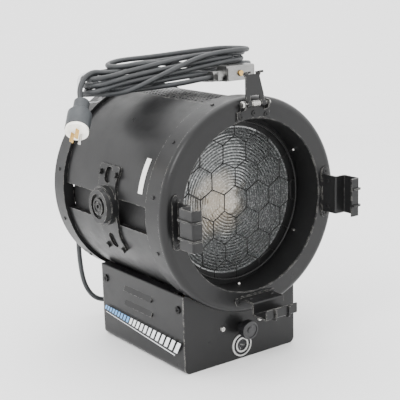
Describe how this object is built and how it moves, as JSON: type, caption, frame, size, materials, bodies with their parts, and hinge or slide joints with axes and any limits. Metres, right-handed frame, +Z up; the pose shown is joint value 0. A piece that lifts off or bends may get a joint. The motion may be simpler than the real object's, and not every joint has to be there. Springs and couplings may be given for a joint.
{
  "type": "fresnel spotlight",
  "caption": "Drum-bodied studio fresnel spotlight head with a ribbed lens behind a wire guard, accessory ears, a top latch, trunnion hubs and a cord hank on top.",
  "frame": {"origin": "middle of the underside of the base, where the head stands", "axes": "+Z up, front of the lens towards -Y, +X to the right seen from the front"},
  "size_m": [0.4319, 0.4604, 0.511],
  "materials": {
    "black_paint": "satin charcoal-black paint, chipped and rubbed on edges",
    "matt_black": "flat black heat-resisting paint",
    "nickel": "bright nickel plate",
    "black_screw": "black-painted steel fasteners",
    "badge": "silver rings on black enamel",
    "zinc": "zinc-plated steel",
    "circuit_board": "solder-masked board",
    "black_plastic": "moulded black nylon",
    "brass": "turned brass",
    "aluminium": "extruded, clear anodised",
    "led": "phosphor-coated LED array",
    "lens_glass": "pressed borosilicate with stippled back",
    "cord_rubber": "dark grey rubber jacket, slightly dusty",
    "plug_rubber": "dark grey moulded plug body",
    "plug_face": "off-white nylon",
    "clear_tie": "translucent tie",
    "bright_box": "cast and plated, bright"
  },
  "bodies": {
    "housing": {"barrel": "matt_black", "barrel_screws": "nickel", "base_badge": "badge", "base_chassis": "black_paint", "base_screws": "nickel", "bezel": "black_paint", "control_board": "circuit_board", "cord_drop": "cord_rubber", "cord_gland": "black_plastic", "cord_hank": "cord_rubber", "cord_rise": "cord_rubber", "cord_switch_lead": "cord_rubber", "cord_switch_return": "cord_rubber", "drum_lower_shell": "black_paint", "drum_upper_shell": "black_paint", "ear_bottom": "black_paint", "ear_left": "black_paint", "ear_right": "black_paint", "ear_straps": "black_paint", "fresnel_lens": "lens_glass", "front_band": "black_paint", "front_bulkhead": "matt_black", "front_rivets": "black_screw", "guide_rods": "zinc", "hank_tie": "clear_tie", "latch_bracket": "black_paint", "latch_pin": "nickel", "latch_spring": "nickel", "lens_retainer": "matt_black", "plug_blades": "brass", "plug_body": "plug_rubber", "plug_face": "plug_face", "power_supply": "aluminium", "rear_bulkhead": "matt_black", "rear_cap": "black_paint", "rear_ports": "black_plastic", "rim_screws": "nickel", "screw_bearings": "zinc", "side_channel_left": "matt_black", "side_channel_right": "matt_black", "side_cover_left": "black_paint", "side_cover_right": "black_paint", "switch_box": "bright_box", "top_vent": "black_paint", "trunnion_bolts": "black_screw", "trunnion_left": "black_paint", "trunnion_right": "black_paint", "wire_guard": "matt_black"},
    "latch": {"latch_lever": "black_paint"},
    "focus": {"focus_knob": "black_plastic", "lead_screw": "zinc"},
    "carriage": {"carriage": "matt_black", "lead_nut": "brass", "heatsink": "aluminium", "led_module": "led", "fan_frame": "black_plastic"},
    "fan": {"fan_rotor": "black_plastic"},
    "dimmer": {"dimmer_knob": "black_plastic"},
    "rocker": {"power_rocker": "black_plastic"},
    "cord_button": {"switch_button": "brass"}
  },
  "joints": [
    {"name": "latch_hinge", "type": "hinge", "parent": "housing", "child": "latch", "pos_m": [0, -0.174, 0.442], "axis": [1, 0, 0], "range_deg": [0, 98]},
    {"name": "focus_slide", "type": "slide", "parent": "housing", "child": "carriage", "axis": [0, -1, 0], "range_m": [0, 0.1]},
    {"name": "focus_knob_turn", "type": "hinge", "parent": "housing", "child": "focus", "pos_m": [0, -0.141, 0.057], "axis": [0, -1, 0], "range_deg": [0, 1800.5]},
    {"name": "fan_spin", "type": "hinge", "parent": "carriage", "child": "fan", "pos_m": [0, 0.1, 0.274], "axis": [0, 1, 0], "continuous": true},
    {"name": "dimmer_turn", "type": "hinge", "parent": "housing", "child": "dimmer", "pos_m": [0.084, 0.14, 0.082], "axis": [0, 1, 0], "range_deg": [0, 280]},
    {"name": "rocker_tip", "type": "hinge", "parent": "housing", "child": "rocker", "pos_m": [0.066, 0.127, 0.04], "axis": [1, 0, 0], "range_deg": [-8, 8]},
    {"name": "cord_button_press", "type": "slide", "parent": "housing", "child": "cord_button", "axis": [0, 1, 0], "range_m": [0, 0.002], "stiffness_N_per_m": 400}
  ],
  "couplings": [
    {"joint": "focus_knob_turn", "follows": "focus_slide", "rad_per_m": 314.16}
  ]
}
